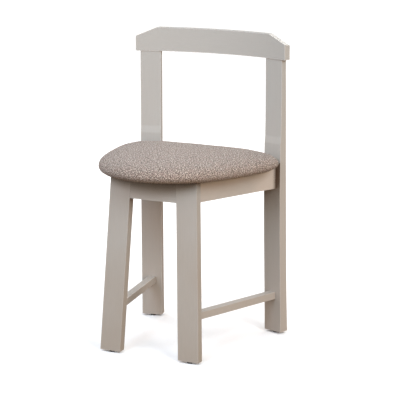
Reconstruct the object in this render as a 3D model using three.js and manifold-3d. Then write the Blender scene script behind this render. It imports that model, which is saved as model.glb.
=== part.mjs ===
// A low-backed dressing chair: painted hardwood frame, bowed crest rail, rounded upholstered seat.
// Millimetres, +Z up, +Y towards the back, seen from the front with +X on the right.

import * as THREE from 'three';
import { mergeVertices } from 'three/addons/utils/BufferGeometryUtils.js';
import Module from 'manifold-3d';

const wasm = await Module();
wasm.setup();

// ---- driving dimensions -------------------------------------------------------------------

const HEIGHT = 730.25;
const GAP = 0.3;

// rear posts: one board each, leg and back post in one piece, turned to follow the crest rail
const POST_OUTER_X = 189.3;
const POST_WIDTH = 51;
const POST_TURN = THREE.MathUtils.degToRad(16.8);
const POST_FRONT_LOWER = [[5, 5.9], [120, 3.8], [240, 1.0], [360, -0.4], [440, 0], [470, 0.2]];
const POST_FRONT_UPPER = [[487, 2.4], [560, 3.1], [672, 3.0]];
const POST_BACK = [[672, 17.2], [560, 19.4], [440, 21.1], [360, 22.4], [240, 24.5], [120, 26.8], [5, 31.2]];

// crest rail: a bowed board standing on the posts, upper corners cut away
const RAIL_BOTTOM_Z = 672.2;
const RAIL_HALF_CHORD = 200;
const RAIL_RADIUS = 563;
const RAIL_MIDDLE_Y = 33.4;
const RAIL_THICKNESS = 16.5;
const RAIL_CORNER_X = 150.4;
const RAIL_CORNER_Z = 708.6;

// front legs: flat boards that splay outwards and forwards
const LEG_WIDTH = 53;
const LEG_THICKNESS = 19.5;
const LEG_CORNER = [111.2, -284.05, 430];
const LEG_SPLAY_X = -0.0433;
const LEG_SPLAY_Y = 0.0653;
const LEG_FOOT_Z = 4.8;

// seat pad: rounded at the front, widest near the back, sloping down a little to the rear
const SEAT_CENTRE_Y = -180;
const SEAT_MID_Z = 434.4;
const SEAT_SLOPE = 0.024;
const SEAT_REAR_Y = 5;
const SEAT_FRONT_Y = -371;
const SEAT_CROWN = 44;
const SEAT_UNDER = 15.6;
const SEAT_UNDER_ROUND = 30;
const SEAT_MEAN_RADIUS = 200;
const SEAT_SEGMENTS = 52;
const SEAT_BACK_END_X = 112;
const SEAT_CORNER_HANDLES = [[201, SEAT_REAR_Y], [220.3, -40]];
const SEAT_SIDE_START = [204.7, -108];
const SEAT_SIDE_END = [191.6, -166];
const SEAT_FRONT_HANDLES = [[160, -303], [92.5, SEAT_FRONT_Y]];
const CROWN_FALL = 1.66;
const CROWN_FULLNESS = 2.4;
const CROWN_SHARES = [0, 0.2, 0.4, 0.6, 0.76, 0.88, 0.95, 0.985];
const UNDER_DEGREES = [0, 30, 60, 90];
const COVER_THICKNESS = 1.4;
const COVER_MARGIN = 0.72;
const BOARD_THICKNESS = 12;
const BOARD_REACH_BOTTOM = 0.82;
const BOARD_REACH_TOP = 0.93;
const DUST_COVER_THICKNESS = 0.8;
const DUST_COVER_REACH = 0.84;

// rails under the seat and between the legs
const SIDE_APRON_INSET = 12.9;
const SIDE_APRON_THICKNESS = 20;
const APRON_BOTTOM_REAR_Z = 361.6;
const FRONT_APRON_BOTTOM_Z = 370;
const REAR_APRON_FRONT_Y = 15;
const REAR_APRON_THICKNESS = 18;
const REAR_APRON_TOP_Z = 430;
const STRETCHER_INSET = 15.5;
const STRETCHER_THICKNESS = 19.7;
const STRETCHER_HEIGHT = 17.4;
const STRETCHER_TOP_Z = 104.3;
const STRETCHER_TURN = THREE.MathUtils.degToRad(12.7);
const STRETCHER_RISE = 0.033;

// fixings
const DOWEL_DIAMETER = 8;
const DOWEL_END_ROOM = 0.5;
const CREST_DOWEL_INSETS = { outer: 14, inner: 37 };
const CREST_DOWEL_BACK = 10.2;
const APRON_DOWEL_HEIGHTS = { lower: 382, upper: 398 };
const REAR_DOWEL_SHIFT = 3;
const SIDE_DOWEL_RISE = 4;
const BLOCK_HEIGHT = 30;
const FRONT_BLOCK_ARM = 58;
const FRONT_BLOCK_REACH = 60;
const FRONT_BLOCK_TIP = 8;
const FRONT_BLOCK_Y_FROM_CENTRE = 87;
const REAR_BLOCK_ARM = 78;
const REAR_BLOCK_X = 95;
const REAR_BLOCK_TIP = 10;
const BLOCK_SCREW_SKIN = 12;
const BLOCK_SCREW_DIAMETER = 4;
const BLOCK_SCREW_LENGTH = 25;
const BLOCK_SCREW_ACCESS = 60;
const FRONT_BLOCK_SCREW_X = 40;
const FRONT_BLOCK_SCREW_BACK = 29;
const REAR_BLOCK_SCREW_X = 108;
const REAR_BLOCK_SCREW_FORWARD = 68;
const SEAT_SCREW_DIAMETER = 4.5;
const SEAT_SCREW_PLACES = { front: [58, -250], rear: [127, -38] };
const SEAT_SCREW_ACCESS = 5;
const SEAT_SCREW_SPARE = 2.5;
const SCREW_HEAD_HEIGHT = 2.8;
const SCREW_HEAD_OVERHANG = 2;
const SCREW_HEAD_ROUND = 1;
const GLIDE_DIAMETER = 14;
const GLIDE_HEIGHT = 4.5;
const GLIDE_PIN_DIAMETER = 3;
const GLIDE_PIN_LENGTH = 14;
const GLIDE_PIN_TAPER = 3;
const GLIDE_EDGE = 1;

// ---- values that follow from them ---------------------------------------------------------

const UP = new THREE.Vector3(0, 0, 1);
const FAR = 1000;
const POST_FRONT_AT_STRETCHER = POST_FRONT_LOWER[1][1];
const POST_FRONT_AT_APRON = POST_FRONT_LOWER[3][1];
const POST_FOOT_MIDDLE = (POST_FRONT_LOWER[0][1] + POST_BACK[6][1]) / 2;
const POST_OUT = new THREE.Vector3(Math.cos(POST_TURN), -Math.sin(POST_TURN), 0);
const POST_REAR = new THREE.Vector3(Math.sin(POST_TURN), Math.cos(POST_TURN), 0);
const LEG_BACK_NORMAL = new THREE.Vector3(0, -1, LEG_SPLAY_Y).normalize();
const LEG_INNER_NORMAL = new THREE.Vector3(1, 0, -LEG_SPLAY_X).normalize();
const SEAT_NORMAL = new THREE.Vector3(0, SEAT_SLOPE, 1).normalize();
const DUST_COVER_TOP = -SEAT_UNDER - GAP;
const DUST_COVER_BOTTOM = DUST_COVER_TOP - DUST_COVER_THICKNESS;
const FRAME_TOP = DUST_COVER_BOTTOM - GAP;
const BOARD_BOTTOM = -SEAT_UNDER + COVER_THICKNESS + GAP;
const BOARD_TOP = BOARD_BOTTOM + BOARD_THICKNESS;
const SIDE_APRON_HEIGHT = seatHeight(0) + FRAME_TOP - APRON_BOTTOM_REAR_Z;

// Height of the pad's widest line at a depth y.
function seatHeight(y) {
  return SEAT_MID_Z - SEAT_SLOPE * (y - SEAT_CENTRE_Y);
}

// A point given by its distance in from the post's outer edge and back from the post's front.
function atPost(inset, back, z) {
  return new THREE.Vector3(POST_OUTER_X, 0, z)
    .addScaledVector(POST_OUT, -inset)
    .addScaledVector(POST_REAR, back);
}

// A point on the right front leg, from its outer front corner inwards and backwards.
function atLeg(inset, back, z) {
  const rise = z - LEG_CORNER[2];
  const x = LEG_CORNER[0] + LEG_SPLAY_X * rise - inset;
  return new THREE.Vector3(x, LEG_CORNER[1] + LEG_SPLAY_Y * rise + back, z);
}

// ---- solids: joining, cutting and placing -------------------------------------------------

function toSolid(geometry) {
  const bare = geometry.clone();
  bare.deleteAttribute('normal');
  bare.deleteAttribute('uv');
  const merged = mergeVertices(bare, 1e-4);
  const vertProperties = Float32Array.from(merged.attributes.position.array);
  const triVerts = Uint32Array.from(merged.index.array);
  return new wasm.Manifold(new wasm.Mesh({ numProp: 3, vertProperties, triVerts }));
}

function toGeometry(solid) {
  const mesh = solid.getMesh();
  const geometry = new THREE.BufferGeometry();
  geometry.setAttribute('position', new THREE.BufferAttribute(Float32Array.from(mesh.vertProperties), 3));
  geometry.setIndex(new THREE.BufferAttribute(Uint32Array.from(mesh.triVerts), 1));
  return geometry;
}

function cut(geometry, ...tools) {
  let solid = toSolid(geometry);
  for (const tool of tools) {
    solid = solid.subtract(toSolid(tool));
  }
  return toGeometry(solid);
}

function common(geometry, other) {
  return toGeometry(toSolid(geometry).intersect(toSolid(other)));
}

// Everything beyond a plane, as a very large block.
function beyond(point, normal) {
  const block = new THREE.BoxGeometry(2 * FAR, 2 * FAR, 2 * FAR);
  block.applyQuaternion(new THREE.Quaternion().setFromUnitVectors(UP, normal));
  const centre = point.clone().addScaledVector(normal, FAR);
  return block.translate(centre.x, centre.y, centre.z);
}

// A straight bar of rectangular section: upright sides, its top and bottom following the slope.
function bar(start, end, thickness, height) {
  const along = end.clone().sub(start);
  const across = UP.clone().cross(along).normalize();
  const middle = start.clone().add(end).multiplyScalar(0.5);
  const place = new THREE.Matrix4().makeBasis(along, across, UP).setPosition(middle);
  return new THREE.BoxGeometry(1, thickness, height).applyMatrix4(place);
}

// A round rod from a point along a direction.
function rod(start, direction, length, diameter, sides = 10) {
  const cylinder = new THREE.CylinderGeometry(diameter / 2, diameter / 2, length, sides);
  cylinder.rotateX(Math.PI / 2).translate(0, 0, length / 2);
  cylinder.applyQuaternion(new THREE.Quaternion().setFromUnitVectors(UP, direction.clone().normalize()));
  return cylinder.translate(start.x, start.y, start.z);
}

// A turned shape: radius and height pairs, its axis laid from a point along a direction.
function turned(profile, start, direction, sides = 10) {
  const points = profile.map(([radius, height]) => new THREE.Vector2(radius, height));
  const lathe = new THREE.LatheGeometry(points, sides).rotateX(Math.PI / 2);
  lathe.applyQuaternion(new THREE.Quaternion().setFromUnitVectors(UP, direction.clone().normalize()));
  return lathe.translate(start.x, start.y, start.z);
}

// A plan outline raised between two heights.
function plate(outline, bottom, top) {
  const shape = new THREE.Shape(outline.map(([x, y]) => new THREE.Vector2(x, y)));
  const flat = new THREE.ExtrudeGeometry(shape, { depth: top - bottom, bevelEnabled: false });
  return flat.translate(0, 0, bottom);
}

function mirrored(geometry) {
  const copy = geometry.index ? geometry.toNonIndexed() : geometry.clone();
  copy.scale(-1, 1, 1);
  const position = copy.attributes.position;
  for (let i = 0; i < position.count; i += 3) {
    const second = new THREE.Vector3().fromBufferAttribute(position, i + 1);
    const third = new THREE.Vector3().fromBufferAttribute(position, i + 2);
    position.setXYZ(i + 1, third.x, third.y, third.z);
    position.setXYZ(i + 2, second.x, second.y, second.z);
  }
  return copy;
}

// ---- frame --------------------------------------------------------------------------------

function rearPost() {
  const toPoint = ([z, back]) => new THREE.Vector2(back, z);
  const side = new THREE.Shape();
  side.moveTo(POST_FRONT_LOWER[0][1], POST_FRONT_LOWER[0][0]);
  side.splineThru(POST_FRONT_LOWER.slice(1).map(toPoint));
  side.lineTo(POST_FRONT_UPPER[0][1], POST_FRONT_UPPER[0][0]);
  side.splineThru(POST_FRONT_UPPER.slice(1).map(toPoint));
  side.lineTo(POST_BACK[0][1], POST_BACK[0][0]);
  side.splineThru(POST_BACK.slice(1).map(toPoint));
  const across = { depth: POST_WIDTH, bevelEnabled: false, curveSegments: 2 };
  const post = new THREE.ExtrudeGeometry(side, across);
  const place = new THREE.Matrix4().makeBasis(POST_REAR, UP, POST_OUT);
  return post.applyMatrix4(place.setPosition(atPost(POST_WIDTH, 0, 0)));
}

function crestRail() {
  const centreY = RAIL_MIDDLE_Y - RAIL_RADIUS;
  const half = Math.asin(RAIL_HALF_CHORD / RAIL_RADIUS);
  const plan = new THREE.Shape();
  plan.absarc(0, centreY, RAIL_RADIUS + RAIL_THICKNESS, Math.PI / 2 - half, Math.PI / 2 + half, false);
  plan.absarc(0, centreY, RAIL_RADIUS, Math.PI / 2 + half, Math.PI / 2 - half, true);
  const depth = HEIGHT - RAIL_BOTTOM_Z;
  const band = new THREE.ExtrudeGeometry(plan, { depth, bevelEnabled: false, curveSegments: 24 });
  band.translate(0, 0, RAIL_BOTTOM_Z);
  const end = [RAIL_HALF_CHORD + RAIL_THICKNESS, RAIL_BOTTOM_Z - 1];
  const slope = (HEIGHT - RAIL_CORNER_Z) / (RAIL_HALF_CHORD - RAIL_CORNER_X);
  const endTop = RAIL_CORNER_Z - slope * RAIL_THICKNESS;
  const top = HEIGHT + slope;
  const right = [end, [end[0], endTop], [RAIL_CORNER_X - 1, top]];
  const left = right.map(([x, z]) => [-x, z]).reverse();
  const front = plate([...right, ...left], -FAR / 2, FAR / 2).rotateX(Math.PI / 2);
  return common(band, front);
}

function frontLeg() {
  const height = SEAT_MID_Z - LEG_FOOT_Z;
  const middleZ = LEG_FOOT_Z + height / 2;
  const leg = new THREE.BoxGeometry(LEG_WIDTH, LEG_THICKNESS, height);
  const splay = new THREE.Matrix4().set(1, 0, LEG_SPLAY_X, 0, 0, 1, LEG_SPLAY_Y, 0, 0, 0, 1, 0, 0, 0, 0, 1);
  leg.applyMatrix4(splay);
  const middle = atLeg(LEG_WIDTH / 2, LEG_THICKNESS / 2, middleZ);
  return cut(leg.translate(middle.x, middle.y, middle.z), aboveFrame());
}

// What lies above the top of the seat frame.
function aboveFrame() {
  return beyond(new THREE.Vector3(0, SEAT_CENTRE_Y, SEAT_MID_Z + FRAME_TOP), SEAT_NORMAL);
}

function frontApron() {
  const height = SEAT_MID_Z - FRONT_APRON_BOTTOM_Z;
  const middle = atLeg(0, LEG_THICKNESS / 2, FRONT_APRON_BOTTOM_Z + height / 2);
  const apron = new THREE.BoxGeometry(2 * POST_OUTER_X, LEG_THICKNESS, height);
  const lean = new THREE.Matrix4().set(1, 0, 0, 0, 0, 1, LEG_SPLAY_Y, 0, 0, 0, 1, 0, 0, 0, 0, 1);
  apron.applyMatrix4(lean).translate(0, middle.y, middle.z);
  const legEdge = atLeg(LEG_WIDTH + GAP, 0, middle.z);
  const right = beyond(legEdge, LEG_INNER_NORMAL);
  return cut(apron, right, mirrored(right), aboveFrame());
}

// Everything in front of the rear faces of the front legs.
function beforeLegBacks() {
  return beyond(atLeg(0, LEG_THICKNESS + GAP, FRONT_APRON_BOTTOM_Z), LEG_BACK_NORMAL);
}

function sideApron() {
  const inset = SIDE_APRON_INSET + SIDE_APRON_THICKNESS / 2;
  const middleZ = APRON_BOTTOM_REAR_Z + SIDE_APRON_HEIGHT / 2;
  const rear = atPost(inset, POST_FRONT_AT_APRON - GAP, middleZ);
  const front = rear.clone().addScaledVector(POST_REAR, SEAT_FRONT_Y);
  front.z = middleZ - SEAT_SLOPE * front.y;
  return cut(bar(rear, front, SIDE_APRON_THICKNESS, SIDE_APRON_HEIGHT), beforeLegBacks());
}

// Stands a little higher than the other aprons and hides the seat's rear edge from behind.
function rearApron() {
  const height = REAR_APRON_TOP_Z - APRON_BOTTOM_REAR_Z;
  const apron = new THREE.BoxGeometry(2 * POST_OUTER_X, REAR_APRON_THICKNESS, height);
  apron.translate(0, REAR_APRON_FRONT_Y + REAR_APRON_THICKNESS / 2, REAR_APRON_TOP_Z - height / 2);
  const right = beyond(atPost(POST_WIDTH + GAP, 0, 0), POST_OUT);
  return cut(apron, right, mirrored(right));
}

function stretcher() {
  const inset = STRETCHER_INSET + STRETCHER_THICKNESS / 2;
  const direction = new THREE.Vector3(-Math.sin(STRETCHER_TURN), -Math.cos(STRETCHER_TURN), STRETCHER_RISE);
  const origin = atPost(inset, 0, STRETCHER_TOP_Z - STRETCHER_HEIGHT / 2);
  const rear = origin.clone().addScaledVector(direction, -LEG_THICKNESS);
  const front = origin.clone().addScaledVector(direction, -SEAT_FRONT_Y);
  const behind = beyond(atPost(0, POST_FRONT_AT_STRETCHER - GAP, 0), POST_REAR);
  return cut(bar(rear, front, STRETCHER_THICKNESS, STRETCHER_HEIGHT), behind, beforeLegBacks());
}

// ---- seat ---------------------------------------------------------------------------------

// Right half of the pad's plan: straight back, wide rear corner, tapering side, round front.
function seatOutline() {
  const path = new THREE.Path();
  path.moveTo(0, SEAT_REAR_Y);
  path.lineTo(SEAT_BACK_END_X, SEAT_REAR_Y);
  path.bezierCurveTo(...SEAT_CORNER_HANDLES.flat(), ...SEAT_SIDE_START);
  path.lineTo(...SEAT_SIDE_END);
  path.bezierCurveTo(...SEAT_FRONT_HANDLES.flat(), 0, SEAT_FRONT_Y);
  return path.getPoints(24).map((point) => point.sub(new THREE.Vector2(0, SEAT_CENTRE_Y)));
}

const OUTLINE = seatOutline();

// Distance from the pad's centre to its edge in a direction of the right half plane.
function seatRadius(angle) {
  const ray = new THREE.Vector2(Math.cos(angle), Math.sin(angle));
  const next = OUTLINE.findIndex((point, i) => i > 0 && ray.cross(point) <= 1e-9);
  const to = next > 0 ? OUTLINE[next] : OUTLINE[OUTLINE.length - 1];
  const from = next > 0 ? OUTLINE[next - 1] : OUTLINE[OUTLINE.length - 2];
  const edge = to.clone().sub(from);
  return from.cross(edge) / ray.cross(edge);
}

// A solid that follows the pad's plan. Its profile gives shares of the plan's radius and heights.
function padSolid(profile) {
  const points = profile.map(([share, height]) => new THREE.Vector2(share, height));
  const lathe = new THREE.LatheGeometry(points, SEAT_SEGMENTS).rotateX(Math.PI / 2);
  const position = lathe.attributes.position;
  for (let i = 0; i < position.count; i += 1) {
    const share = Math.hypot(position.getX(i), position.getY(i));
    const angle = Math.atan2(position.getY(i), Math.abs(position.getX(i)));
    const reach = share < 1e-9 ? 0 : seatRadius(angle);
    const x = position.getX(i) * reach;
    const y = position.getY(i) * reach + SEAT_CENTRE_Y;
    position.setXYZ(i, x, y, position.getZ(i) + seatHeight(y));
  }
  return lathe;
}

// The crowned upper side and rounded lower edge, a wall's thickness in from the outside.
function padProfile(wall) {
  const across = 1 - wall / SEAT_MEAN_RADIUS;
  const crown = SEAT_CROWN - wall;
  const under = SEAT_UNDER - wall;
  const upper = CROWN_SHARES.map((share) => [
    share * across,
    crown * (1 - share ** CROWN_FALL) ** (1 / CROWN_FULLNESS),
  ]);
  const round = SEAT_UNDER_ROUND / SEAT_MEAN_RADIUS;
  const lower = UNDER_DEGREES.map((degrees) => {
    const angle = THREE.MathUtils.degToRad(degrees);
    return [across - round * (1 - Math.cos(angle)), -under * Math.sin(angle)];
  });
  return [...upper, ...lower];
}

// Cloth over the whole pad, with a margin turned in under the board.
function seatCover() {
  const outer = padProfile(0);
  const inner = padProfile(COVER_THICKNESS);
  const lip = [
    [COVER_MARGIN, -SEAT_UNDER + COVER_THICKNESS],
    [COVER_MARGIN, -SEAT_UNDER],
  ];
  return padSolid([...inner, ...lip, ...outer.reverse()]);
}

// Foam under the cloth, with a well below that holds the board.
function seatFoam() {
  const spare = 2 * GAP / SEAT_MEAN_RADIUS;
  const well = [
    [0, BOARD_TOP + GAP],
    [BOARD_REACH_TOP + spare, BOARD_TOP + GAP],
    [BOARD_REACH_BOTTOM + spare, BOARD_BOTTOM],
  ];
  return padSolid([...well, ...padProfile(COVER_THICKNESS + GAP).reverse()]);
}

function seatBoard() {
  return padSolid([
    [0, BOARD_BOTTOM],
    [BOARD_REACH_BOTTOM, BOARD_BOTTOM],
    [BOARD_REACH_TOP, BOARD_TOP],
    [0, BOARD_TOP],
  ]);
}

function dustCover() {
  const reach = DUST_COVER_REACH;
  const [bottom, top] = [DUST_COVER_BOTTOM, DUST_COVER_TOP];
  return padSolid([[0, bottom], [reach, bottom], [reach, top], [0, top]]);
}

// ---- corner blocks, screws, dowels and glides ----------------------------------------------

// Plan of the block in the right front corner, between the leg and the side apron.
function frontBlockPlan() {
  const inner = SIDE_APRON_INSET + SIDE_APRON_THICKNESS + GAP;
  const legBack = atLeg(0, LEG_THICKNESS + GAP, FRONT_APRON_BOTTOM_Z).y;
  const postFace = atPost(inner, 0, 0);
  const reach = (postFace.y - legBack) / POST_REAR.y;
  const corner = atPost(inner, -reach, 0);
  const rearOuter = atPost(inner, FRONT_BLOCK_ARM - reach, 0);
  const rearInner = atPost(inner + FRONT_BLOCK_TIP, FRONT_BLOCK_ARM - reach, 0);
  return [
    [corner.x, corner.y],
    [rearOuter.x, rearOuter.y],
    [rearInner.x, rearInner.y],
    [corner.x - FRONT_BLOCK_REACH, corner.y + FRONT_BLOCK_TIP],
    [corner.x - FRONT_BLOCK_REACH, corner.y],
  ];
}

// Plan of the block in the right rear corner, between the post, the side and the rear apron.
function rearBlockPlan() {
  const inner = SIDE_APRON_INSET + SIDE_APRON_THICKNESS + GAP;
  const faceY = REAR_APRON_FRONT_Y - GAP;
  const points = [
    atPost(inner, -1, 0),
    atPost(POST_WIDTH, -1, 0),
    new THREE.Vector3(REAR_BLOCK_X, faceY, 0),
    new THREE.Vector3(REAR_BLOCK_X, faceY - REAR_BLOCK_TIP, 0),
    atPost(inner + BLOCK_SCREW_SKIN, -REAR_BLOCK_ARM, 0),
    atPost(inner, -REAR_BLOCK_ARM, 0),
  ];
  return points.map((point) => [point.x, point.y]);
}

function cornerBlock(plan) {
  const slab = plate(plan, 0, BLOCK_HEIGHT);
  const position = slab.attributes.position;
  for (let i = 0; i < position.count; i += 1) {
    const y = position.getY(i);
    position.setZ(i, position.getZ(i) + seatHeight(y) + FRAME_TOP - BLOCK_HEIGHT);
  }
  return cut(slab, beforeLegBacks());
}

function panScrew(start, direction, length, diameter) {
  const radius = diameter / 2;
  const rim = radius + SCREW_HEAD_OVERHANG;
  const profile = [
    [0, -SCREW_HEAD_HEIGHT], [rim - 0.8 * SCREW_HEAD_ROUND, -SCREW_HEAD_HEIGHT],
    [rim, SCREW_HEAD_ROUND - SCREW_HEAD_HEIGHT], [rim, 0], [radius, 0],
    [radius, length - diameter], [0, length],
  ];
  return turned(profile, start, direction);
}

function glide(foot) {
  const radius = GLIDE_DIAMETER / 2;
  const pin = GLIDE_PIN_DIAMETER / 2;
  const profile = [
    [0, 0], [radius - GLIDE_EDGE, 0], [radius, GLIDE_EDGE], [radius, GLIDE_HEIGHT], [pin, GLIDE_HEIGHT],
    [pin, GLIDE_HEIGHT + GLIDE_PIN_LENGTH - GLIDE_PIN_TAPER], [0, GLIDE_HEIGHT + GLIDE_PIN_LENGTH],
  ];
  return turned(profile, foot, UP, 16);
}

// ---- the assembly ---------------------------------------------------------------------------

const FINISHES = {
  paint: { color: 0xc1bcb4, roughness: 0.45, metalness: 0 },
  fabric: { color: 0xa69a93, roughness: 0.95, metalness: 0 },
  foam: { color: 0xe6dfc8, roughness: 0.95, metalness: 0 },
  plywood: { color: 0xc9a878, roughness: 0.7, metalness: 0 },
  hardwood: { color: 0xb98f62, roughness: 0.65, metalness: 0 },
  lining: { color: 0x2c2b2a, roughness: 0.95, metalness: 0 },
  steel: { color: 0xb8b6b0, roughness: 0.35, metalness: 1 },
  nylon: { color: 0x2a2725, roughness: 0.5, metalness: 0 },
};

const pieces = new Map();

function add(name, finish, geometry) {
  pieces.set(name, { finish, geometry });
}

function addPair(name, finish, geometry) {
  add(`${name}_right`, finish, geometry);
  add(`${name}_left`, finish, mirrored(geometry));
}

// Cuts one clearance hole through each named piece.
function drill(names, hole) {
  for (const name of names) {
    const piece = pieces.get(name);
    piece.geometry = cut(piece.geometry, hole);
  }
}

// A fixing on the right and its twin on the left, each in a hole of its own.
function fixPair(name, finish, fixing, hole, hosts) {
  addPair(name, finish, fixing);
  const right = (host) => (pieces.has(host) ? host : `${host}_right`);
  const left = (host) => (pieces.has(host) ? host : `${host}_left`);
  drill(hosts.map(right), hole);
  drill(hosts.map(left), mirrored(hole));
}

// A dowel that goes one length into the piece ahead of the joint and another back out of it.
function dowelPair(name, middle, direction, into, outOf, hosts) {
  const start = middle.clone().addScaledVector(direction, -outOf);
  const holeStart = start.clone().addScaledVector(direction, -DOWEL_END_ROOM);
  const length = into + outOf;
  const dowel = rod(start, direction, length, DOWEL_DIAMETER);
  const hole = rod(holeStart, direction, length + 2 * DOWEL_END_ROOM, DOWEL_DIAMETER + 2 * GAP);
  fixPair(name, 'hardwood', dowel, hole, hosts);
}

// A screw whose head has clear room behind it, for the driver.
function screwPair(name, start, direction, length, diameter, clear, hosts) {
  const unit = direction.clone().normalize();
  const screw = panScrew(start, unit, length, diameter);
  const shank = rod(start.clone().addScaledVector(unit, -GAP), unit, length + 2 * GAP, diameter + 2 * GAP);
  const headRoom = diameter + 2 * SCREW_HEAD_OVERHANG + 2 * GAP;
  const head = rod(start.clone().addScaledVector(unit, -clear), unit, clear + GAP, headRoom);
  const hole = toGeometry(toSolid(shank).add(toSolid(head)));
  fixPair(name, 'steel', screw, hole, hosts);
}

function blockScrewPair(name, start, direction, hosts) {
  const [length, diameter] = [BLOCK_SCREW_LENGTH, BLOCK_SCREW_DIAMETER];
  screwPair(name, start, direction, length, diameter, BLOCK_SCREW_ACCESS, hosts);
}

function addFrame() {
  addPair('rear_post', 'paint', rearPost());
  addPair('front_leg', 'paint', frontLeg());
  addPair('side_apron', 'paint', sideApron());
  addPair('stretcher', 'paint', stretcher());
  add('crest_rail', 'paint', crestRail());
  add('front_apron', 'paint', frontApron());
  add('rear_apron', 'paint', rearApron());
  addPair('corner_block_front', 'hardwood', cornerBlock(frontBlockPlan()));
  addPair('corner_block_rear', 'hardwood', cornerBlock(rearBlockPlan()));
}

function addSeat() {
  add('seat_board', 'plywood', seatBoard());
  add('seat_foam', 'foam', seatFoam());
  add('seat_cover', 'fabric', seatCover());
  add('dust_cover', 'lining', dustCover());
}

function addDowels() {
  for (const [label, inset] of Object.entries(CREST_DOWEL_INSETS)) {
    const top = atPost(inset, CREST_DOWEL_BACK, RAIL_BOTTOM_Z);
    dowelPair(`crest_dowel_${label}`, top, UP, 20, 24, ['rear_post', 'crest_rail']);
  }
  const inward = new THREE.Vector3(-1, 0, 0);
  const forward = POST_REAR.clone().negate();
  const sideInset = SIDE_APRON_INSET + SIDE_APRON_THICKNESS / 2;
  for (const [label, z] of Object.entries(APRON_DOWEL_HEIGHTS)) {
    const frontEnd = atLeg(LEG_WIDTH, LEG_THICKNESS / 2, z);
    dowelPair(`front_dowel_${label}`, frontEnd, inward, 22, 17, ['front_leg', 'front_apron']);
    const rearEnd = atPost(POST_WIDTH, 0, z);
    const apronY = REAR_APRON_FRONT_Y + REAR_APRON_THICKNESS / 2;
    const inPost = POST_OUT.clone().negate();
    rearEnd.addScaledVector(POST_REAR, (apronY - rearEnd.y) / POST_REAR.y - REAR_DOWEL_SHIFT);
    dowelPair(`rear_dowel_${label}`, rearEnd, inPost, 20, 18, ['rear_post', 'rear_apron']);
    const atPostFace = atPost(sideInset, 0, z);
    dowelPair(`side_dowel_rear_${label}`, atPostFace, forward, 18, 13, ['rear_post', 'side_apron']);
    const legBackY = atLeg(0, LEG_THICKNESS, z).y;
    const length = (atPostFace.y - legBackY) / POST_REAR.y;
    const atLegFace = atPost(sideInset, -length, z + SIDE_DOWEL_RISE);
    dowelPair(`side_dowel_front_${label}`, atLegFace, POST_REAR, 18, 12, ['front_leg', 'side_apron']);
  }
}

function addStretcherDowels() {
  const inset = STRETCHER_INSET + STRETCHER_THICKNESS / 2;
  const along = new THREE.Vector3(-Math.sin(STRETCHER_TURN), -Math.cos(STRETCHER_TURN), STRETCHER_RISE);
  const origin = atPost(inset, 0, STRETCHER_TOP_Z - STRETCHER_HEIGHT / 2);
  const rear = origin.clone().addScaledVector(along, -POST_FRONT_AT_STRETCHER);
  dowelPair('stretcher_dowel_rear', rear, along, 18, 13, ['rear_post', 'stretcher']);
  const legBackY = atLeg(0, LEG_THICKNESS, STRETCHER_TOP_Z).y;
  const front = origin.clone().addScaledVector(along, (legBackY - origin.y) / along.y);
  dowelPair('stretcher_dowel_front', front, along.clone().negate(), 18, 12, ['front_leg', 'stretcher']);
}

function addScrews() {
  const blockMiddle = FRAME_TOP - BLOCK_HEIGHT / 2;
  const inner = SIDE_APRON_INSET + SIDE_APRON_THICKNESS;
  const frontBlockY = SEAT_CENTRE_Y - FRONT_BLOCK_Y_FROM_CENTRE;
  const legBackY = atLeg(0, LEG_THICKNESS, seatHeight(frontBlockY) + blockMiddle).y;
  const sideLength = (atPost(inner, 0, 0).y - legBackY) / POST_REAR.y;
  const sides = { front: FRONT_BLOCK_SCREW_BACK - sideLength, rear: -REAR_BLOCK_SCREW_FORWARD };
  for (const [label, back] of Object.entries(sides)) {
    const start = atPost(inner + BLOCK_SCREW_SKIN, back, 0);
    start.z = seatHeight(start.y) + blockMiddle;
    blockScrewPair(`block_screw_${label}_side`, start, POST_OUT, [`corner_block_${label}`, 'side_apron']);
  }
  const frontZ = seatHeight(legBackY) + blockMiddle;
  const frontStart = new THREE.Vector3(FRONT_BLOCK_SCREW_X, legBackY + BLOCK_SCREW_SKIN, frontZ);
  const towardsFront = new THREE.Vector3(0, -1, 0);
  blockScrewPair('block_screw_front', frontStart, towardsFront, ['corner_block_front', 'front_apron']);
  const rearY = REAR_APRON_FRONT_Y - BLOCK_SCREW_SKIN;
  const rearStart = new THREE.Vector3(REAR_BLOCK_SCREW_X, rearY, seatHeight(0) + blockMiddle);
  const towardsRear = new THREE.Vector3(0, 1, 0);
  blockScrewPair('block_screw_rear', rearStart, towardsRear, ['corner_block_rear', 'rear_apron']);
  for (const [label, [x, y]] of Object.entries(SEAT_SCREW_PLACES)) {
    const start = new THREE.Vector3(x, y, seatHeight(y) + FRAME_TOP - BLOCK_HEIGHT - GAP);
    const length = BLOCK_HEIGHT + GAP - FRAME_TOP + BOARD_TOP - SEAT_SCREW_SPARE;
    const hosts = [`corner_block_${label}`, 'dust_cover', 'seat_cover', 'seat_board'];
    const access = SEAT_SCREW_ACCESS;
    screwPair(`seat_screw_${label}`, start, UP, length, SEAT_SCREW_DIAMETER, access, hosts);
  }
}

function addGlides() {
  const frontFoot = atLeg(LEG_WIDTH / 2, LEG_THICKNESS / 2, LEG_FOOT_Z).setZ(0);
  const rearFoot = atPost(POST_WIDTH / 2, POST_FOOT_MIDDLE, 0);
  for (const [label, foot, host] of [['front', frontFoot, 'front_leg'], ['rear', rearFoot, 'rear_post']]) {
    const hole = rod(foot, UP, GLIDE_HEIGHT + GLIDE_PIN_LENGTH + 1, GLIDE_PIN_DIAMETER + 2 * GAP);
    fixPair(`glide_${label}`, 'nylon', glide(foot), hole, [host]);
  }
}

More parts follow.
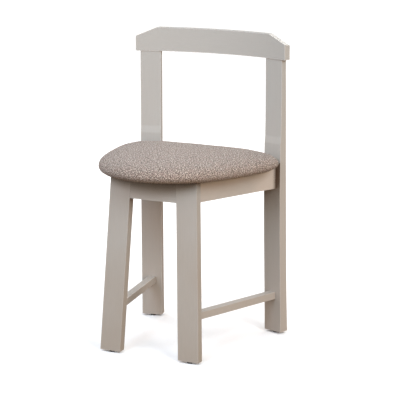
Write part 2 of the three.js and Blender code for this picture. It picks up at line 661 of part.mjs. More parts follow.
function assemble() {
  addFrame();
  addSeat();
  addDowels();
  addStretcherDowels();
  addScrews();
  addGlides();
  const railBackY = RAIL_MIDDLE_Y + RAIL_THICKNESS;
  const chair = new THREE.Group();
  chair.name = 'vanity_chair';
  chair.position.y = -(railBackY + SEAT_FRONT_Y) / 2;
  for (const [name, { finish, geometry }] of pieces) {
    const mesh = new THREE.Mesh(geometry, new THREE.MeshStandardMaterial(FINISHES[finish]));
    mesh.name = name;
    chair.add(mesh);
  }
  return chair;
}

export default assemble();
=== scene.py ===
"""The looks of a painted vanity chair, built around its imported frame."""

import math

import bmesh
import bpy
import numpy as np
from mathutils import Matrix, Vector, noise
from mathutils.bvhtree import BVHTree


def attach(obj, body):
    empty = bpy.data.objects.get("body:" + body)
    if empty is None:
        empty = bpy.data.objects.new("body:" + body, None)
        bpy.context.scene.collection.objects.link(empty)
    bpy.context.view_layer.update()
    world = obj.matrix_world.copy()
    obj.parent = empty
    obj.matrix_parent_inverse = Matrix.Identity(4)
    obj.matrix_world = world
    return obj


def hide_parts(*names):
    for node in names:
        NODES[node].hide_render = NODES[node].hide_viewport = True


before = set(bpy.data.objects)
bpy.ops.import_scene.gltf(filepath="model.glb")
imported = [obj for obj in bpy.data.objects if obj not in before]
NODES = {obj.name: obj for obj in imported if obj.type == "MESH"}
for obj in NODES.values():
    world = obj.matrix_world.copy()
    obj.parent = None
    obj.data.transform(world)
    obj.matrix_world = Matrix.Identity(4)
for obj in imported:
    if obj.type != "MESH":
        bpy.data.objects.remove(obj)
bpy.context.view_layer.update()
X, Y, Z = range(3)

# ---- camera and light ---------------------------------------------------------------------

CAMERA_AZIMUTH = math.radians(27.06)
CAMERA_ELEVATION = math.radians(12.01)
CAMERA_DISTANCE = 4.370
CAMERA_TARGET = Vector((0.026, 0.0605, 0.3385))
CAMERA_LENS = 165.04
FLOOR_SIZE = 30.0
FLOOR_BOUNCE = (0.21, 0.155, 0.110, 1)
FLOOR_WASH_START = 0.3
FLOOR_WASH_REACH = 3.5
FLOOR_WASH_NEAR = 0.06
FLOOR_WASH_FAR = 0.40
WORLD_LIGHT = 0.74
WORLD_COLOUR = (1.0, 0.965, 0.94, 1)
LIGHT_AIM = Vector((0, 0, 0.4))
LIGHT_DISTANCE = 3.2
LIGHT_SIZE = 1.3
LIGHTS = (
    # name, azimuth and elevation in degrees, power in watts, colour
    ("front", 0, 30, 34.0, (0.63, 0.81, 1.0)),
    ("left", -30, 30, 12.0, (1.0, 0.8, 0.85)),
    ("upper_left", -30, 60, 14.0, (0.42, 0.73, 0.95)),
    ("right", 60, 30, 47.0, (0.82, 0.91, 0.98)),
    ("low_right", 60, 8, 22.0, (1.0, 0.60, 0.30)),
    ("back", 180, 20, 28.0, (1.0, 0.96, 0.92)),
    ("far_left", -115, 20, 24.0, (0.95, 0.96, 1.0)),
)


def add_camera():
    flat = math.cos(CAMERA_ELEVATION)
    back = Vector((
        math.sin(CAMERA_AZIMUTH) * flat,
        -math.cos(CAMERA_AZIMUTH) * flat,
        math.sin(CAMERA_ELEVATION),
    ))
    data = bpy.data.cameras.new("camera")
    data.lens = CAMERA_LENS
    data.clip_end = 100
    camera = bpy.data.objects.new("camera", data)
    camera.location = CAMERA_TARGET + back * CAMERA_DISTANCE
    camera.rotation_mode = "QUATERNION"
    camera.rotation_quaternion = (-back).to_track_quat("-Z", "Y")
    bpy.context.scene.collection.objects.link(camera)
    bpy.context.scene.camera = camera


def add_area_light(name, azimuth, elevation, power, colour):
    """A round soft light at an azimuth and elevation in degrees, turned to the chair's middle."""
    side, rise = math.radians(azimuth), math.radians(elevation)
    flat = math.cos(rise)
    away = Vector((math.sin(side) * flat, -math.cos(side) * flat, math.sin(rise)))
    data = bpy.data.lights.new(name, "AREA")
    data.shape = "DISK"
    data.size = LIGHT_SIZE
    data.energy = power
    data.color = colour
    light = bpy.data.objects.new(name, data)
    light.location = LIGHT_AIM + away * LIGHT_DISTANCE
    light.rotation_mode = "QUATERNION"
    light.rotation_quaternion = (-away).to_track_quat("-Z", "Y")
    light.visible_camera = False
    bpy.context.scene.collection.objects.link(light)


def add_lights():
    for name, azimuth, elevation, power, colour in LIGHTS:
        add_area_light(name, azimuth, elevation, power, colour)
    bpy.context.scene.world = studio_world()
    bpy.context.scene.view_settings.view_transform = "Standard"


def studio_world():
    """Soft light from all round, seen as plain white."""
    world = bpy.data.worlds.new("studio")
    world.use_nodes = True
    nodes, links = world.node_tree.nodes, world.node_tree.links
    light = nodes["Background"]
    light.inputs["Color"].default_value = WORLD_COLOUR
    light.inputs["Strength"].default_value = WORLD_LIGHT
    white = nodes.new("ShaderNodeBackground")
    white.inputs["Color"].default_value = (1, 1, 1, 1)
    path = nodes.new("ShaderNodeLightPath")
    either = nodes.new("ShaderNodeMixShader")
    links.new(path.outputs["Is Camera Ray"], either.inputs[0])
    links.new(light.outputs[0], either.inputs[1])
    links.new(white.outputs[0], either.inputs[2])
    links.new(either.outputs[0], nodes["World Output"].inputs[0])
    return world


# ---- material tools -----------------------------------------------------------------------


def srgb(red, green, blue):
    """A colour of 0 to 255 steps as the linear colour that shaders take."""
    steps = (red / 255, green / 255, blue / 255)
    linear = [c / 12.92 if c <= 0.04045 else ((c + 0.055) / 1.055) ** 2.4 for c in steps]
    return (*linear, 1)


class Shader:
    """A material with a Principled shader, and short calls that add nodes to it."""

    def __init__(self, name, roughness=0.5, **constants):
        self.material = bpy.data.materials.new(name)
        self.material.use_nodes = True
        self.tree = self.material.node_tree
        self.tree.nodes.clear()
        self.output = self.tree.nodes.new("ShaderNodeOutputMaterial")
        self.principled = self.tree.nodes.new("ShaderNodeBsdfPrincipled")
        self.tree.links.new(self.principled.outputs[0], self.output.inputs[0])
        self.set("Roughness", roughness)
        for label, value in constants.items():
            self.set(label.replace("_", " "), value)

    def set(self, label, value):
        self._feed(self.principled.inputs[label], value)

    def _feed(self, socket, value):
        if isinstance(value, bpy.types.NodeSocket):
            self.tree.links.new(value, socket)
        else:
            socket.default_value = value

    def add(self, kind, inputs=(), out=0, **settings):
        made = self.tree.nodes.new("ShaderNode" + kind)
        for key, value in settings.items():
            setattr(made, key, value)
        for key, value in dict(inputs).items():
            self._feed(made.inputs[key], value)
        return made.outputs[out]

    def maths(self, operation, first, second=0.0):
        return self.add("Math", {0: first, 1: second}, operation=operation)

    def place(self, scale=(1, 1, 1)):
        """Places on the chair, in metres, times a scale along each axis."""
        here = self.add("TexCoord", out="Object")
        return self.add("Mapping", {"Vector": here, "Scale": scale})

    def noise(self, vector, scale, detail=2.0, roughness=0.5):
        inputs = {"Vector": vector, "Scale": scale, "Detail": detail, "Roughness": roughness}
        return self.add("TexNoise", inputs)

    def ramp(self, value, low, high, new_low=0.0, new_high=1.0):
        inputs = {"Value": value, 1: low, 2: high, 3: new_low, 4: new_high}
        return self.add("MapRange", inputs)

    def split(self, vector):
        """The three numbers of a vector."""
        split = self.tree.nodes.new("ShaderNodeSeparateXYZ")
        self.tree.links.new(vector, split.inputs[0])
        return split.outputs

    def mix(self, share, first, second, blend="MIX"):
        """Two colours mixed. The node's share and its two colours are sockets 0, 6 and 7."""
        made = self.tree.nodes.new("ShaderNodeMix")
        made.data_type = "RGBA"
        made.blend_type = blend
        for index, value in ((0, share), (6, first), (7, second)):
            self._feed(made.inputs[index], value)
        return made.outputs[2]

    def bump(self, height, distance, strength=1.0, normal=None):
        inputs = {"Height": height, "Distance": distance, "Strength": strength}
        if normal is not None:
            inputs["Normal"] = normal
        return self.add("Bump", inputs)

    def edges(self, radius, low, high):
        """1 along outside edges of about this radius, 0 on flats."""
        soft = self.add("Bevel", {"Radius": radius}, samples=6)
        flat = self.add("NewGeometry", out="True Normal")
        likeness = self.add("VectorMath", {0: soft, 1: flat}, out="Value", operation="DOT_PRODUCT")
        return self.ramp(likeness, high, low)


# ---- materials ----------------------------------------------------------------------------

# The paint runs from a foot colour at the floor to PAINT_TOP higher up: a painted shade, darker toward the
# floor. POST_FOOT and SIDE_FOOT are lighter than LEG_FOOT, standing in for more light on the posts and the
# side apron.
PAINT_TOP = srgb(180, 177, 171)
LEG_FOOT = srgb(171, 162, 151)
POST_FOOT = srgb(183, 175, 166)
SIDE_FOOT = srgb(216, 201, 188)
# Edge colour of a painted highlight along the eased edges.
PAINT_EDGE_HIGHLIGHT = srgb(206, 203, 198)
GRAIN_FINE = 420.0
GRAIN_LONG = 14.0
EDGE_RADIUS = 0.003
# Under the seat, painted shade darkens the paint in the corners where pieces stand near: from the first
# height up it fades in until the second, and it ends at the underside of the pad.
SEAT_SHADE_FROM = 0.22
SEAT_SHADE_TO = 0.32
SEAT_UNDERSIDE = 0.425
# Colours of that painted shade under the seat, multiplied into the paint.
PAINTED_SHADE_DEEP = (0.10, 0.060, 0.035, 1)
PAINTED_SHADE_POST = (0.24, 0.16, 0.11, 1)
PAINTED_SHADE_LIGHT = (0.55, 0.46, 0.37, 1)


def paint(name, along, edge_highlight, reach, shade_colour, foot=POST_FOOT):
    """Satin paint over wood whose grain runs along one axis.

    foot is its colour at the floor, a painted shade that darkens the paint downwards. The edge share
    lightens the edges as a painted highlight. Under the seat a painted shade of the shade colour darkens
    the paint wherever other pieces stand nearer than reach.
    """
    shader = Shader(name, Specular_IOR_Level=0.45)
    here = shader.place()
    height = shader.split(here)[Z]
    cloud = shader.noise(here, 7.0, 3.0)
    scale = [GRAIN_FINE] * 3
    scale[along] = GRAIN_LONG
    grain = shader.noise(shader.place(tuple(scale)), 1.0, 4.0, 0.6)
    peel = shader.noise(here, 900.0, 1.0)
    drift = shader.maths("ADD", height, shader.ramp(cloud, 0.3, 0.7, -0.12, 0.12))
    # Painted shade: the foot colour low down, the top colour higher up.
    tone = shader.mix(shader.ramp(drift, 0.02, 0.60), foot, PAINT_TOP)
    streak = shader.ramp(grain, 0.3, 0.7, 0.955, 1.0)
    tone = shader.mix(1.0, tone, streak, "MULTIPLY")
    # Painted highlight: the eased edges are lightened toward the edge colour.
    highlight_share = shader.maths("MULTIPLY", shader.edges(EDGE_RADIUS, 0.93, 0.995), edge_highlight)
    tone = shader.mix(highlight_share, tone, PAINT_EDGE_HIGHLIGHT)
    # Painted shade under the seat: the tone darkened by the shade colour where ambient occlusion finds near
    # pieces, faded in by height.
    shaded_tone = shader.mix(1.0, tone, shade_colour, "MULTIPLY")
    openness = shader.add("AmbientOcclusion", {"Distance": reach}, out="AO", samples=8)
    closed = shader.ramp(openness, 0.96, 0.46)
    below = shader.maths("LESS_THAN", height, SEAT_UNDERSIDE)
    under = shader.maths("MULTIPLY", shader.ramp(height, SEAT_SHADE_FROM, SEAT_SHADE_TO), below)
    shader.set("Base Color", shader.mix(shader.maths("MULTIPLY", closed, under), tone, shaded_tone))
    shader.set("Roughness", shader.ramp(grain, 0.3, 0.7, 0.50, 0.38))
    relief = shader.bump(grain, 0.00025, 0.35)
    shader.set("Normal", shader.bump(peel, 0.00006, 0.25, relief))
    return shader.material


def bare_wood(name, light, dark, along):
    shader = Shader(name, 0.65)
    scale = [160.0] * 3
    scale[along] = 9.0
    grain = shader.noise(shader.place(tuple(scale)), 1.0, 5.0, 0.62)
    rings = shader.noise(shader.place(), 18.0, 2.0)
    share = shader.ramp(shader.maths("ADD", grain, shader.maths("MULTIPLY", rings, 0.5)), 0.5, 1.0)
    shader.set("Base Color", shader.mix(share, light, dark))
    shader.set("Normal", shader.bump(grain, 0.0003, 0.4))
    return shader.material


def plywood():
    """Birch veneers: layers through the thickness, grain on the faces."""
    shader = Shader("plywood_board", 0.7)
    layering = {"Vector": shader.place(), "Scale": 110.0}
    layers = shader.add("TexWave", layering, out="Fac", bands_direction="Z")
    grain = shader.noise(shader.place((12.0, 260.0, 260.0)), 1.0, 4.0)
    faces = shader.mix(grain, srgb(214, 184, 140), srgb(190, 152, 106))
    shader.set("Base Color", shader.mix(shader.maths("MULTIPLY", layers, 0.3), faces, srgb(120, 84, 52)))
    shader.set("Normal", shader.bump(grain, 0.0002, 0.3))
    return shader.material


YARN = 0.0022
TWEED_TURN = math.radians(33)
TWEED_MID = srgb(156, 142, 132)
TWEED_DARK = srgb(90, 75, 66)
TWEED_ROSE = srgb(157, 134, 125)
TWEED_CREAM = srgb(222, 207, 193)


def tweed():
    """A coarse weave of mixed yarns with light and dark flecks, laid by the flat cloth's place."""
    shader = Shader("tweed", 0.92, Sheen_Weight=0.16, Sheen_Roughness=0.5, Specular_IOR_Level=0.2)
    flat = shader.add("Attribute", out="Vector", attribute_name="cloth_place")
    yarn = 1 / YARN
    turned = (0, 0, TWEED_TURN)
    here = shader.add("Mapping", {"Vector": flat, "Rotation": turned, "Scale": (yarn,) * 3})
    wander = shader.noise(here, 0.35, 2.0)
    waves = []
    for place in shader.split(here)[:2]:
        loose = shader.maths("ADD", place, wander)
        waves.append(shader.maths("SINE", shader.maths("MULTIPLY", loose, 2 * math.pi)))
    over = shader.maths("MULTIPLY", *waves)
    warp = shader.noise(shader.add("Mapping", {"Vector": here, "Scale": (1, 0.3, 1)}), 1.0, 1.0)
    weft = shader.noise(shader.add("Mapping", {"Vector": here, "Scale": (0.3, 1, 1)}), 1.0, 1.0)
    yarns = shader.mix(shader.ramp(over, -0.25, 0.25), warp, weft)
    tone = shader.mix(shader.ramp(yarns, 0.38, 0.60), TWEED_DARK, TWEED_MID)
    fleck = shader.noise(here, 0.85, 1.0)
    tone = shader.mix(shader.ramp(fleck, 0.50, 0.62), tone, TWEED_CREAM)
    shade = shader.noise(shader.add("Mapping", {"Vector": here, "Location": (7, 3, 5)}), 0.8, 1.0)
    tone = shader.mix(shader.ramp(shade, 0.54, 0.66), tone, TWEED_DARK)
    blush = shader.noise(here, 0.2, 2.0)
    tone = shader.mix(shader.ramp(blush, 0.45, 0.7, 0.0, 0.5), tone, TWEED_ROSE)
    shader.set("Base Color", tone)
    fluff = shader.noise(shader.place(), 1400.0, 2.0)
    relief = shader.bump(over, 0.0007, 0.6)
    shader.set("Normal", shader.bump(fluff, 0.0004, 0.4, relief))
    return shader.material


def lining():
    """Thin non-woven cloth with a dotted bond pattern."""
    shader = Shader("non_woven_lining", 0.9, Sheen_Weight=0.1)
    fibres = shader.noise(shader.place(), 700.0, 3.0, 0.7)
    dots = shader.add("TexVoronoi", {"Vector": shader.place(), "Scale": 500.0}, out="Distance")
    shader.set("Base Color", shader.mix(fibres, srgb(30, 29, 28), srgb(66, 63, 60)))
    relief = shader.bump(fibres, 0.0003, 0.4)
    shader.set("Normal", shader.bump(dots, 0.0003, 0.3, relief))
    return shader.material


def zinc():
    shader = Shader("zinc_plate", 0.35, Metallic=1.0)
    mottle = shader.noise(shader.place(), 420.0, 3.0)
    shader.set("Base Color", shader.mix(mottle, srgb(176, 172, 160), srgb(206, 203, 196)))
    shader.set("Roughness", shader.ramp(mottle, 0.3, 0.7, 0.28, 0.45))
    shader.set("Normal", shader.bump(mottle, 0.0001, 0.2))
    return shader.material


def nylon():
    shader = Shader("dark_nylon", 0.5)
    grain = shader.noise(shader.place(), 900.0, 2.0)
    shader.set("Base Color", shader.mix(grain, srgb(38, 33, 29), srgb(58, 50, 44)))
    shader.set("Roughness", shader.ramp(grain, 0.3, 0.7, 0.42, 0.6))
    shader.set("Normal", shader.bump(grain, 0.0001, 0.25))
    return shader.material


# ---- the wooden pieces --------------------------------------------------------------------

# How wide the rounding of each painted or bare wooden piece's edges is, in metres.
EASE = {
    "rear_post": 0.0018,
    "front_leg": 0.0014,
    "crest_rail": 0.0020,
    "stretcher": 0.0016,
    "front_apron": 0.0004,
    "rear_apron": 0.0010,
    "side_apron": 0.0010,
    "corner_block": 0.0012,
}


def smooth_group():
    """A modifier group that shades every face smooth."""
    group = bpy.data.node_groups.new("smooth_faces", "GeometryNodeTree")
    group.interface.new_socket("Geometry", in_out="INPUT", socket_type="NodeSocketGeometry")
    group.interface.new_socket("Geometry", in_out="OUTPUT", socket_type="NodeSocketGeometry")
    start = group.nodes.new("NodeGroupInput")
    smooth = group.nodes.new("GeometryNodeSetShadeSmooth")
    end = group.nodes.new("NodeGroupOutput")
    group.links.new(start.outputs[0], smooth.inputs[0])
    group.links.new(smooth.outputs[0], end.inputs[0])
    return group


def ease_edges(piece, width, group):
    """Merges the facets of each flat, rounds the edges and evens the shading."""
    weld = piece.modifiers.new("weld", "WELD")
    weld.merge_threshold = 0.00001
    flats = piece.modifiers.new("flats", "DECIMATE")
    flats.decimate_type = "DISSOLVE"
    flats.angle_limit = math.radians(0.05)
    bevel = piece.modifiers.new("eased_edges", "BEVEL")
    bevel.width = width
    bevel.segments = 3
    bevel.limit_method = "ANGLE"
    bevel.angle_limit = math.radians(6)
    smooth = piece.modifiers.new("smooth", "NODES")
    smooth.node_group = group
    normals = piece.modifiers.new("even_normals", "WEIGHTED_NORMAL")
    normals.keep_sharp = False


def give(piece, material):
    piece.data.materials.clear()
    piece.data.materials.append(material)


def finish_wood():
    """Gives every wooden piece its material, and eases the edges of all but the dowels and board."""
    group = smooth_group()
    # Each paint's edge share sets its painted highlight; its reach and shade colour set its painted shade
    # under the seat.
    post = paint("paint_post", Z, edge_highlight=0.6, reach=0.18, shade_colour=PAINTED_SHADE_POST)
    rail = paint("paint_rail", X, edge_highlight=0.9, reach=0.02, shade_colour=PAINTED_SHADE_LIGHT)
    stretcher = paint("paint_stretcher", Y, edge_highlight=0.3, reach=0.02, shade_colour=PAINTED_SHADE_LIGHT)
    leg = paint("paint_leg", Z, edge_highlight=0.35, reach=0.035, shade_colour=PAINTED_SHADE_DEEP, foot=LEG_FOOT)
    apron = paint("paint_apron", X, edge_highlight=0.1, reach=0.050, shade_colour=PAINTED_SHADE_DEEP)
    side_apron = paint("paint_side_apron", Y, edge_highlight=0.1, reach=0.014, shade_colour=PAINTED_SHADE_DEEP, foot=SIDE_FOOT)
    blocks = bare_wood("bare_hardwood", srgb(205, 170, 126), srgb(150, 108, 68), X)
    beech = bare_wood("bare_beech", srgb(216, 182, 140), srgb(178, 132, 88), Z)
    by_prefix = {
        "rear_post": post,
        "front_leg": leg,
        "crest_rail": rail,
        "front_apron": apron,
        "rear_apron": apron,
        "side_apron": side_apron,
        "stretcher": stretcher,
        "corner_block": blocks,
    }
    for name, piece in NODES.items():
        if "dowel" in name:
            give(piece, beech)
            continue
        for prefix, material in by_prefix.items():
            if name.startswith(prefix):
                give(piece, material)
                ease_edges(piece, EASE[prefix], group)
    give(NODES["seat_board"], plywood())


# ---- the seat cushion ---------------------------------------------------------------------

# The pad's plan is measured round this point, and its heights from this sloping plane.
SEAT_CENTRE_Y = -0.01945
SEAT_CENTRE_Z = 0.4344
SEAT_SLOPE = 0.024
SEAT_CROWN = 0.044
SEAT_UNDER = 0.0156
SEAT_UNDER_ROUND = 0.030
SEAT_MEAN_RADIUS = 0.2
CROWN_FALL = 1.66
CROWN_FULLNESS = 2.4

SEAT_VOXEL = 0.005
SEAT_SHRINK = 0.0025
SEAT_PRESSURE = 4.0
SIM_FRAMES = 20
PUFF_LIMIT = 0.006
FIT_INSIDE = 0.0002
FIT_CROWN = 0.0010
FIT_SIDE = 0.0004
FACING_UP = 0.4
SMOOTHING_ROUNDS = (40, 12, 5, 2)
PLAN_BINS = 180
PLAN_BLUR = np.array([1, 4, 6, 4, 1]) / 16
PUCKER_MIDDLE = 0.62
PUCKER_SPREAD = 0.6
PUCKER_DEPTH = 0.0006
PUCKER_PITCH = 0.021
DIMPLE_DEPTH = 0.0012
DIMPLE_PITCH = 0.055
DIMPLE_RISE = 0.25
TACKED_REACH = 0.80
MARGIN_REACH = 0.72
BOARD_PLAY = 0.0005
BOARD_MEAN_RADIUS = 0.17
POCKET_DROP = 0.006
PROFILE_CROWN_STEPS = 120
PROFILE_TURN_STEPS = 24
REACH_STEPS = 9


def new_piece(name, mesh, body="root"):
    piece = bpy.data.objects.new(name, mesh)
    bpy.context.scene.collection.objects.link(piece)
    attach(piece, body)
    return piece


def hull_of(points, name):
    """The closed convex shape round some points."""
    shape = bmesh.new()
    for point in points:
        shape.verts.new(point)
    found = bmesh.ops.convex_hull(shape, input=shape.verts)
    spare = {v for v in found["geom_interior"] if isinstance(v, bmesh.types.BMVert)}
    bmesh.ops.delete(shape, geom=list(spare), context="VERTS")
    bmesh.ops.recalc_face_normals(shape, faces=shape.faces)
    mesh = bpy.data.meshes.new(name)
    shape.to_mesh(mesh)
    shape.free()
    return mesh


def evaluated(piece):
    graph = bpy.context.evaluated_depsgraph_get()
    return bpy.data.meshes.new_from_object(piece.evaluated_get(graph))


def apply_modifiers(piece):
    mesh = evaluated(piece)
    piece.modifiers.clear()
    piece.data = mesh


def read_points(mesh):
    flat = np.zeros(len(mesh.vertices) * 3)
    mesh.vertices.foreach_get("co", flat)
    return flat.reshape(-1, 3)


def read_normals(mesh):
    flat = np.zeros(len(mesh.vertices) * 3)
    mesh.vertex_normals.foreach_get("vector", flat)
    return flat.reshape(-1, 3)


def write_points(mesh, points):
    mesh.vertices.foreach_set("co", points.ravel())
    mesh.update()


def smoothed(mesh, values, rounds):
    """One value per point, each round moved half way to the mean of its neighbours."""
    pairs = np.zeros(len(mesh.edges) * 2, dtype=np.int64)
    mesh.edges.foreach_get("vertices", pairs)
    first, second = pairs.reshape(-1, 2).T
    count = np.bincount(pairs, minlength=len(values))
    for _ in range(rounds):
        total = np.bincount(first, values[second], len(values))
        total += np.bincount(second, values[first], len(values))
        values = (values + total / count) / 2
    return values


def inflate(piece, pinned, pressure, limit):
    """Cloth under inside pressure, some points held. No point moves further than the limit."""
    scene = bpy.context.scene
    start = read_points(piece.data)
    group = piece.vertex_groups.new(name="tacked")
    group.add([int(i) for i in np.flatnonzero(pinned)], 1.0, "REPLACE")
    cloth = piece.modifiers.new("cloth", "CLOTH")
    settings = cloth.settings
    settings.quality = 6
    settings.mass = 0.3
    settings.tension_stiffness = 8
    settings.compression_stiffness = 8
    settings.shear_stiffness = 4
    settings.bending_stiffness = 1.0
    settings.use_pressure = True
    settings.uniform_pressure_force = pressure
    settings.vertex_group_mass = "tacked"
    settings.effector_weights.gravity = 0
    cloth.point_cache.frame_end = SIM_FRAMES
    for step in range(1, SIM_FRAMES + 1):
        scene.frame_set(step)
    end = read_points(evaluated(piece))
    piece.modifiers.clear()
    piece.vertex_groups.clear()
    scene.frame_set(1)
    move = end - start
    length = np.linalg.norm(move, axis=1, keepdims=True)
    move *= np.minimum(1.0, limit / np.maximum(length, 1e-9))
    write_points(piece.data, start + move)


def seat_heights(points):
    """Heights over the sloping plane through the pad's widest line."""
    return points[:, 2] - SEAT_CENTRE_Z + SEAT_SLOPE * (points[:, 1] - SEAT_CENTRE_Y)


def seat_plan(points):
    """Angle round the seat's centre, distance from it, and the pad's reach at that angle."""
    across = points[:, 0]
    along = points[:, 1] - SEAT_CENTRE_Y
    angle = np.arctan2(along, across)
    distance = np.hypot(across, along)
    index = ((angle + math.pi) / (2 * math.pi) * PLAN_BINS).astype(int) % PLAN_BINS
    reach = np.zeros(PLAN_BINS)
    np.maximum.at(reach, index, distance)
    wrapped = np.concatenate([reach[-2:], reach, reach[:2]])
    reach = np.convolve(wrapped, PLAN_BLUR, "valid")
    middle = (np.arange(PLAN_BINS) + 0.5) / PLAN_BINS * 2 * math.pi - math.pi
    return angle, distance, np.interp(angle, middle, reach, period=2 * math.pi)


def fit_to(mesh, tree):
    """Brings a sheet back within a little of the CAD pad, and keeps its own softness."""
    for rounds in SMOOTHING_ROUNDS:
        points = read_points(mesh)
        normals = read_normals(mesh)
        gap = np.zeros(len(points))
        for i, point in enumerate(points):
            near, outward, _, distance = tree.find_nearest(Vector(point))
            gap[i] = math.copysign(distance, (Vector(point) - near).dot(outward))
        ceiling = np.where(normals[:, 2] > FACING_UP, FIT_CROWN, FIT_SIDE)
        change = smoothed(mesh, np.clip(gap, -FIT_INSIDE, ceiling) - gap, rounds)
        write_points(mesh, points + normals * change[:, None])


def add_softness(mesh):
    """Shallow dimples over the crown, and small puckers where the cloth turns under."""
    points = read_points(mesh)
    normals = read_normals(mesh)
    heights = seat_heights(points)
    angle, distance, reach = seat_plan(points)
    from_line = np.abs(heights + SEAT_UNDER * PUCKER_MIDDLE)
    edge = np.clip(1 - from_line / (SEAT_UNDER * PUCKER_SPREAD), 0, 1)
    crown = np.clip(heights / SEAT_CROWN, 0, 1)
    depth = np.zeros(len(points))
    for i, point in enumerate(points):
        dimple = noise.noise(Vector(point) / DIMPLE_PITCH)
        run = angle[i] * reach[i] / PUCKER_PITCH
        pucker = noise.noise(Vector((run, distance[i] / DIMPLE_PITCH, 3.1)))
        depth[i] = DIMPLE_DEPTH * crown[i] * min(dimple, DIMPLE_RISE) - PUCKER_DEPTH * edge[i] * abs(pucker)
    write_points(mesh, points + normals * depth[:, None])


def board_pocket():
    """The board's space in the pad, open below inside the turned margin of the cloth."""
    board = read_points(NODES["seat_board"].data)
    centre = np.array([0, SEAT_CENTRE_Y, 0])
    middle = (seat_heights(board).min() + seat_heights(board).max()) / 2
    lower = board[seat_heights(board) < middle]
    spread = board - centre
    spread[:, :2] *= 1 + BOARD_PLAY / BOARD_MEAN_RADIUS
    spread[:, 2] += np.where(seat_heights(board) > middle, BOARD_PLAY, -BOARD_PLAY / 2)
    opening = lower - centre
    _, distance, reach = seat_plan(read_points(NODES["seat_cover"].data))
    opening[:, :2] *= MARGIN_REACH * distance.max() / np.hypot(*opening[:, :2].T).max()
    opening[:, 2] -= POCKET_DROP
    mesh = hull_of(np.vstack([spread + centre, opening + centre]), "board_pocket")
    tool = bpy.data.objects.new("board_pocket", mesh)
    bpy.context.scene.collection.objects.link(tool)
    return tool


def seat_turn(heights, shares):
    """How far round the pad's profile each point is: a quarter turn on top, 0 at the rim."""
    unit = np.where(heights > 0, heights / SEAT_CROWN, heights / SEAT_UNDER)
    return np.arctan2(unit, shares)


def lay_cloth(mesh):
    """Stores each point's place on the flat cloth: as far from the middle as the cloth runs."""
    points = read_points(mesh)
    angle, distance, reach = seat_plan(points)
    heights = seat_heights(points)
    share = np.linspace(0, 1, PROFILE_CROWN_STEPS) ** 0.5
    crown = SEAT_CROWN * np.maximum(1 - share**CROWN_FALL, 0) ** (1 / CROWN_FULLNESS)
    turn = np.linspace(0, math.pi / 2, PROFILE_TURN_STEPS)[1:]
    under_share = 1 - (1 - np.cos(turn)) * SEAT_UNDER_ROUND / SEAT_MEAN_RADIUS
    profile_share = np.concatenate([share, under_share, [0]])
    profile_height = np.concatenate([crown, -SEAT_UNDER * np.sin(turn), [-SEAT_UNDER]])
    profile_turn = seat_turn(profile_height, profile_share)
    here = seat_turn(heights, distance / reach)
    step_across = np.diff(profile_share)
    step_up = np.diff(profile_height)
    reaches = np.linspace(reach.min(), reach.max(), REACH_STEPS)
    runs = []
    for one in reaches:
        walked = np.concatenate([[0], np.cumsum(np.hypot(step_across * one, step_up))])
        runs.append(np.interp(-here, -profile_turn, walked))
    runs = np.array(runs)
    level = (reach - reaches[0]) / (reaches[1] - reaches[0])
    lower = np.clip(level.astype(int), 0, len(reaches) - 2)
    rows = np.arange(len(points))
    run = runs[lower, rows] + (runs[lower + 1, rows] - runs[lower, rows]) * (level - lower)
    place = np.stack([run * np.cos(angle), run * np.sin(angle), 0 * run], axis=1)
    layer = mesh.attributes.new("cloth_place", "FLOAT_VECTOR", "POINT")
    layer.data.foreach_set("vector", place.astype(np.float32).ravel())


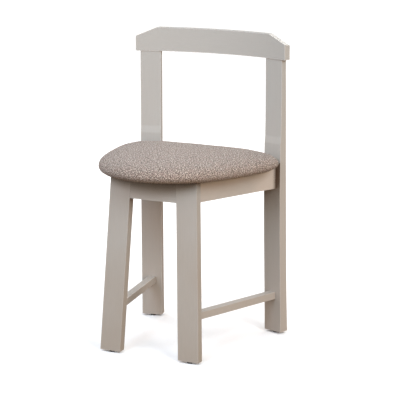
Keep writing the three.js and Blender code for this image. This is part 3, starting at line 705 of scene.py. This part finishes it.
def seat_cushion():
    pad = hull_of(read_points(NODES["seat_cover"].data), "seat_cushion")
    tree = BVHTree.FromPolygons([v.co for v in pad.vertices], [p.vertices for p in pad.polygons])
    cushion = new_piece("seat_cushion", pad)
    voxels = cushion.modifiers.new("voxels", "REMESH")
    voxels.mode = "VOXEL"
    voxels.voxel_size = SEAT_VOXEL
    apply_modifiers(cushion)
    points = read_points(cushion.data)
    write_points(cushion.data, points - read_normals(cushion.data) * SEAT_SHRINK)
    points = read_points(cushion.data)
    _, distance, reach = seat_plan(points)
    tacked = (seat_heights(points) < -SEAT_UNDER / 2) & (distance < reach * TACKED_REACH)
    inflate(cushion, tacked, SEAT_PRESSURE, PUFF_LIMIT)
    finer = cushion.modifiers.new("finer", "SUBSURF")
    finer.levels = 1
    apply_modifiers(cushion)
    fit_to(cushion.data, tree)
    add_softness(cushion.data)
    pocket = board_pocket()
    cut = cushion.modifiers.new("pocket", "BOOLEAN")
    cut.object = pocket
    cut.operation = "DIFFERENCE"
    cut.solver = "EXACT"
    apply_modifiers(cushion)
    bpy.data.objects.remove(pocket)
    lay_cloth(cushion.data)
    for polygon in cushion.data.polygons:
        polygon.use_smooth = True
    give(cushion, tweed())
    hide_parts("seat_cover", "seat_foam")


# ---- floor --------------------------------------------------------------------------------


def add_floor():
    """A plain pale studio floor. What it throws back at the chair is that of a darker floor."""
    half = FLOOR_SIZE / 2
    mesh = bpy.data.meshes.new("floor")
    corners = [(-half, -half, 0), (half, -half, 0), (half, half, 0), (-half, half, 0)]
    mesh.from_pydata(corners, [], [(0, 1, 2, 3)])
    floor = bpy.data.objects.new("floor", mesh)
    bpy.context.scene.collection.objects.link(floor)
    shader = Shader("pale_floor", 0.9, Specular_IOR_Level=0.0)
    seen = shader.add("LightPath", out="Is Camera Ray")
    mottle = shader.noise(shader.place(), 2.0, 2.0)
    pale = shader.mix(mottle, srgb(250, 250, 250), srgb(253, 253, 253))
    shader.set("Base Color", shader.mix(seen, FLOOR_BOUNCE, pale))
    away = shader.add("VectorMath", {0: shader.place()}, out="Value", operation="LENGTH")
    wash = shader.ramp(away, FLOOR_WASH_START, FLOOR_WASH_REACH, FLOOR_WASH_NEAR, FLOOR_WASH_FAR)
    shader.set("Emission Color", (1, 1, 1, 1))
    shader.set("Emission Strength", shader.maths("MULTIPLY", wash, seen))
    give(floor, shader.material)


# ---- the whole ----------------------------------------------------------------------------

add_camera()
add_lights()
add_floor()
finish_wood()
seat_cushion()
give(NODES["dust_cover"], lining())
STEEL = zinc()
DARK_NYLON = nylon()
for node_name, node_piece in NODES.items():
    if "screw" in node_name:
        give(node_piece, STEEL)
    if node_name.startswith("glide"):
        give(node_piece, DARK_NYLON)
